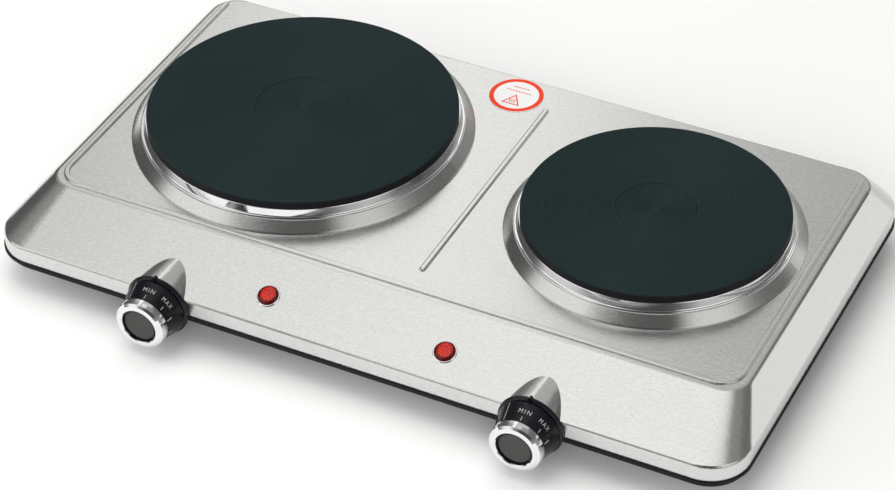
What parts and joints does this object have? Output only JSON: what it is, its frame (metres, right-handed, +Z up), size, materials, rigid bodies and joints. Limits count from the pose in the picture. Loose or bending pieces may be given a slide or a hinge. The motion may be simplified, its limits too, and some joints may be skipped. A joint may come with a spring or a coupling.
{
  "type": "twin hot plate",
  "caption": "Table-top electric hot plate: brushed steel housing with a large and a small cast-iron burner and front control knobs that turn.",
  "frame": {"origin": "middle of the whole object's footprint, knobs included, at the underside of the feet", "axes": "+X to the right as the user faces the knobs, +Y to the back, +Z up; the knobs point towards -Y"},
  "size_m": [0.4646, 0.2918, 0.064],
  "materials": {
    "brushed_cover": "fine straight brushing, satin",
    "black_enamel": "black enamel, semi-gloss",
    "cast_plate": "black heat-proof coating over fine turned grooves",
    "polished_ring": "mirror-polished stainless steel",
    "coil_metal": "resistance alloy, oxidised",
    "filling": "pressed magnesia filling, matt",
    "plain_steel": "zinc-plated, dull",
    "shield_aluminium": "rolled sheet, satin",
    "white_ceramic": "steatite, matt",
    "black_plastic": "phenolic moulding, fine satin",
    "chrome_trim": "bright chrome",
    "cap_grey": "dark grey moulding, matt",
    "red_lens": "clear red, glossy",
    "foot_rubber": "matt black rubber",
    "white_plastic": "natural nylon",
    "earth_brass": "plain brass",
    "mark_film": "printed film, white with an orange-red ring",
    "lead_silicone": "silicone sleeve, natural white",
    "lead_blue": "silicone sleeve, blue",
    "lead_green": "insulation, green and yellow"
  },
  "bodies": {
    "housing": {"top_cover": "brushed_cover", "base_pan": "black_enamel", "plate_large": "cast_plate", "plate_small": "cast_plate", "overfall_ring_large": "polished_ring", "overfall_ring_small": "polished_ring", "coil_large": "coil_metal", "coil_small": "coil_metal", "insulation_large": "filling", "insulation_small": "filling", "plate_cover_large": "plain_steel", "plate_cover_small": "plain_steel", "stud_large": "plain_steel", "stud_small": "plain_steel", "clamp_bar_large": "plain_steel", "clamp_bar_small": "plain_steel", "clamp_nuts": "plain_steel", "heat_shield_large": "shield_aluminium", "heat_shield_small": "shield_aluminium", "plate_terminal_large": "white_ceramic", "plate_terminal_small": "white_ceramic", "bezel_left": "black_plastic", "bezel_right": "black_plastic", "thermostat_left": "white_ceramic", "thermostat_right": "white_ceramic", "bracket_left": "plain_steel", "bracket_right": "plain_steel", "bracket_rivets": "plain_steel", "lamp_lens_left": "red_lens", "lamp_lens_right": "red_lens", "lamp_rims": "chrome_trim", "lamp_stems": "black_plastic", "foot_front_left": "foot_rubber", "foot_front_right": "foot_rubber", "foot_rear_left": "foot_rubber", "foot_rear_right": "foot_rubber", "foot_screws": "plain_steel", "base_screws": "plain_steel", "posts": "plain_steel", "mains_terminal": "white_plastic", "cord_gland": "black_plastic", "earth_stud": "earth_brass", "heat_mark": "mark_film", "lead_plate_large": "lead_silicone", "lead_plate_small": "lead_silicone", "lead_neutral_large": "lead_blue", "lead_neutral_small": "lead_blue", "lead_line_left": "lead_silicone", "lead_line_right": "lead_silicone", "lead_lamp_left": "lead_silicone", "lead_lamp_right": "lead_silicone", "lead_earth": "lead_green"},
    "knob_left": {"knob_left": "black_plastic", "knob_ring_left": "chrome_trim", "knob_cap_left": "cap_grey", "shaft_left": "plain_steel"},
    "knob_right": {"knob_right": "black_plastic", "knob_ring_right": "chrome_trim", "knob_cap_right": "cap_grey", "shaft_right": "plain_steel"}
  },
  "joints": [
    {"name": "knob_left_turn", "type": "hinge", "parent": "housing", "child": "knob_left", "pos_m": [-0.1175, -0.1233, 0.0225], "axis": [0, 1, 0], "range_deg": [0, 315]},
    {"name": "knob_right_turn", "type": "hinge", "parent": "housing", "child": "knob_right", "pos_m": [0.1145, -0.1233, 0.0225], "axis": [0, 1, 0], "range_deg": [0, 315]}
  ]
}
